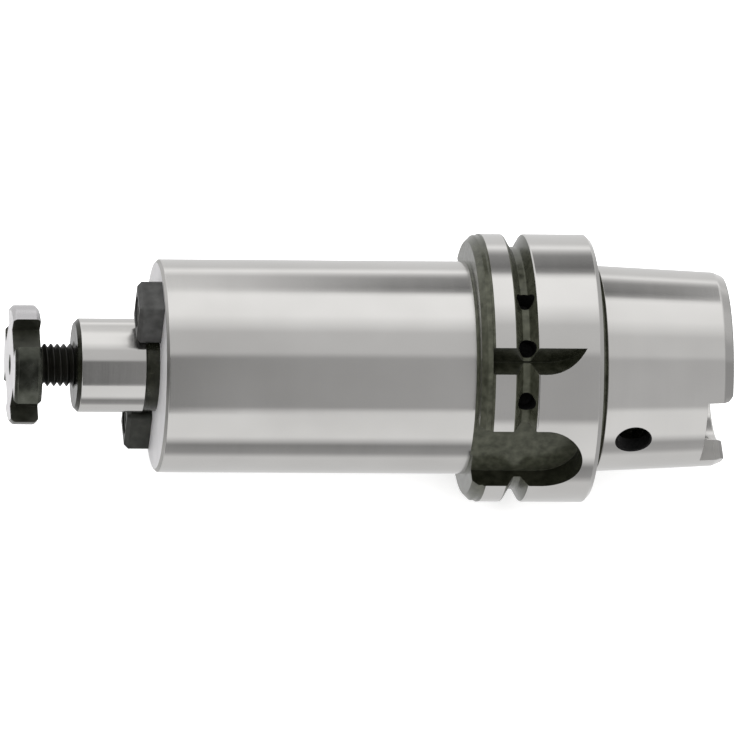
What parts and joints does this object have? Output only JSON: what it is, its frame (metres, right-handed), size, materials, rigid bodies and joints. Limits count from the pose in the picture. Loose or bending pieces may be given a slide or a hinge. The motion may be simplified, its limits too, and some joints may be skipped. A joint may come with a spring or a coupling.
{
  "type": "shell mill arbor",
  "caption": "Hollow-taper shell mill arbor: flanged shank, long cylindrical body, centring pilot, bolted drive keys and a castellated retaining screw.",
  "frame": {"origin": "on the arbor's axis, in the plane of the flange's contact face", "axes": "+X along the axis out of the hollow taper's open end, cutter at -X; +Z through the upper drive key, -Y through the wider flange slot"},
  "size_m": [0.1683, 0.063, 0.063],
  "materials": {
    "ground_steel": "ground bright, unground in grooves",
    "blackened_key": "black oxide",
    "blackened_screw": "black oxide, oiled",
    "turned_steel": "fine turned",
    "seal_rubber": "matt"
  },
  "bodies": {
    "arbor": {"arbor_body": "ground_steel", "drive_key_upper": "blackened_key", "drive_key_lower": "blackened_key", "key_screw_upper": "blackened_screw", "key_screw_lower": "blackened_screw", "coolant_nut": "turned_steel", "coolant_seal_inner": "seal_rubber", "coolant_seal_outer": "seal_rubber"},
    "screw": {"retaining_screw": "blackened_screw"},
    "tube": {"coolant_tube": "turned_steel"}
  },
  "joints": [
    {"name": "retaining_screw_travel", "type": "slide", "parent": "arbor", "child": "screw", "axis": [-1, 0, 0], "range_m": [-0.0085, 0.045]},
    {"name": "coolant_tube_float", "type": "hinge", "parent": "arbor", "child": "tube", "pos_m": [-0.011, 0, 0], "axis": [0, 1, 0], "range_deg": [-1, 1]}
  ]
}
